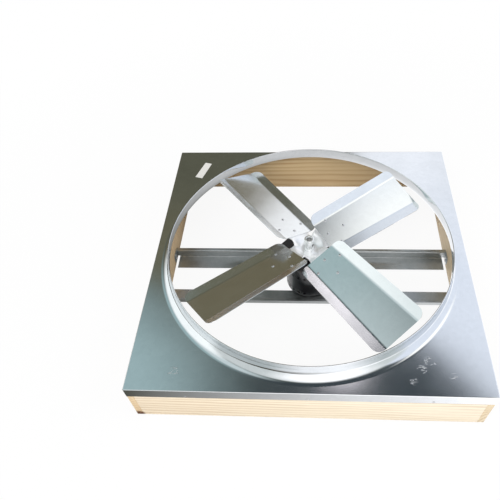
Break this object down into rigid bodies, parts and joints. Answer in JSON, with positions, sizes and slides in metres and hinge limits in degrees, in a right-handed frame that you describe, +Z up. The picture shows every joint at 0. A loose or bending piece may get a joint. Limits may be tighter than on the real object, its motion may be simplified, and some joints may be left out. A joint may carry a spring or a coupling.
{
  "type": "whole house fan",
  "caption": "Direct drive attic fan: a square pine frame with a drawn steel venturi panel, struts, an upright motor and a pressed blade fan with a riveted spider.",
  "frame": {"origin": "centre of the underside of the square frame", "axes": "+Z up, the way the air is blown; +X to the right along the struts; +Y to the back"},
  "size_m": [0.8722, 0.8722, 0.1939],
  "materials": {
    "galvanised_sheet": "bright galvanised sheet, soft mirror-like",
    "pine": "planed pine, unfinished",
    "fastener_steel": "zinc plated",
    "strut_steel": "dull galvanised strip",
    "black_paint": "satin black",
    "lamination_steel": "dull stamped laminations",
    "copper_winding": "varnished copper wire",
    "hub_steel": "bright zinc plated",
    "blade_steel": "bright galvanised sheet"
  },
  "bodies": {
    "frame": {"venturi_panel": "galvanised_sheet", "frame_board_left": "pine", "frame_board_right": "pine", "frame_board_front": "pine", "frame_board_back": "pine", "skirt_nail_front_1": "fastener_steel", "skirt_nail_front_2": "fastener_steel", "skirt_nail_front_3": "fastener_steel", "skirt_nail_right_1": "fastener_steel", "skirt_nail_right_2": "fastener_steel", "skirt_nail_right_3": "fastener_steel", "skirt_nail_back_1": "fastener_steel", "skirt_nail_back_2": "fastener_steel", "skirt_nail_back_3": "fastener_steel", "skirt_nail_left_1": "fastener_steel", "skirt_nail_left_2": "fastener_steel", "skirt_nail_left_3": "fastener_steel", "corner_nail_front_left_1": "fastener_steel", "corner_nail_front_left_2": "fastener_steel", "corner_nail_front_right_1": "fastener_steel", "corner_nail_front_right_2": "fastener_steel", "corner_nail_back_left_1": "fastener_steel", "corner_nail_back_left_2": "fastener_steel", "corner_nail_back_right_1": "fastener_steel", "corner_nail_back_right_2": "fastener_steel", "strut_rear": "strut_steel", "strut_front": "strut_steel", "strut_screw_front_left_1": "fastener_steel", "strut_screw_front_left_2": "fastener_steel", "strut_screw_front_right_1": "fastener_steel", "strut_screw_front_right_2": "fastener_steel", "strut_screw_rear_left_1": "fastener_steel", "strut_screw_rear_left_2": "fastener_steel", "strut_screw_rear_right_1": "fastener_steel", "strut_screw_rear_right_2": "fastener_steel", "motor_rear_bell": "black_paint", "motor_shell": "black_paint", "motor_drive_bell": "black_paint", "stator_core": "lamination_steel", "stator_winding": "copper_winding", "bearing_rear": "fastener_steel", "bearing_drive": "fastener_steel", "motor_bolt_front_left": "fastener_steel", "motor_bolt_front_right": "fastener_steel", "motor_bolt_rear_left": "fastener_steel", "motor_bolt_rear_right": "fastener_steel", "motor_nut_front_left": "fastener_steel", "motor_nut_front_right": "fastener_steel", "motor_nut_rear_left": "fastener_steel", "motor_nut_rear_right": "fastener_steel", "capacitor_box": "black_paint"},
    "rotor": {"motor_shaft": "hub_steel", "rotor_core": "lamination_steel", "hub_boss": "hub_steel", "hub_set_screw": "black_paint", "spider": "hub_steel", "blade_1": "blade_steel", "blade_2": "blade_steel", "blade_3": "blade_steel", "blade_4": "blade_steel"}
  },
  "joints": [
    {"name": "fan_spin", "type": "hinge", "parent": "frame", "child": "rotor", "pos_m": [0, 0, 0.15], "axis": [0, 0, 1], "continuous": true}
  ]
}
